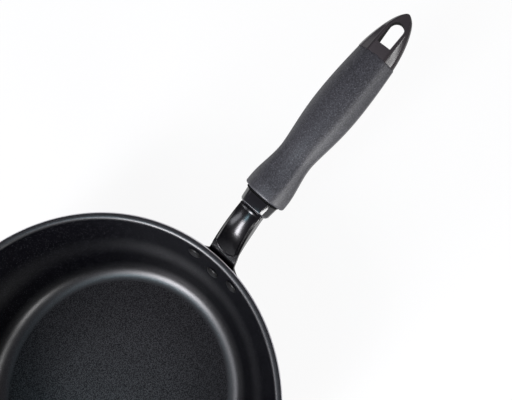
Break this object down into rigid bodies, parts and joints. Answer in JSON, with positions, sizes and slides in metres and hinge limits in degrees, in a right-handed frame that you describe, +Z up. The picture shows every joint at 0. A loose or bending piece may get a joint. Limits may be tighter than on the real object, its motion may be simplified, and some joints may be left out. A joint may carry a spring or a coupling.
{
  "type": "deep frying pan",
  "caption": "Deep round frying pan with a flared wall, turned-out lip and riveted bracket, and a long raised handle with a soft grip and a hanging hole.",
  "frame": {"origin": "centre of the base plate's underside, where the pan stands on the hob", "axes": "+Z up along the pan's axis, +X along the handle away from the pan, +Y to the left of the handle seen from the pan"},
  "size_m": [0.4475, 0.266, 0.1714],
  "materials": {
    "non_stick_coating": "pressed aluminium under a matte black speckled non-stick coating",
    "base_steel": "turned stainless steel",
    "coated_rivet": "black coated",
    "black_enamel": "gloss black enamel",
    "guard_plastic": "gloss black",
    "core_plastic": "gloss black",
    "grip_rubber": "soft-touch dark grey, finely grained",
    "plated_steel": "zinc plated"
  },
  "bodies": {
    "root": {"pan_body": "non_stick_coating", "base_plate": "base_steel", "rivet_left": "coated_rivet", "rivet_right": "coated_rivet", "rivet_lower": "coated_rivet", "handle_bracket": "black_enamel", "flame_guard": "guard_plastic", "handle_core": "core_plastic", "soft_grip": "grip_rubber", "tang_nut": "plated_steel", "handle_screw": "plated_steel", "spring_washer": "plated_steel"}
  },
  "joints": []
}
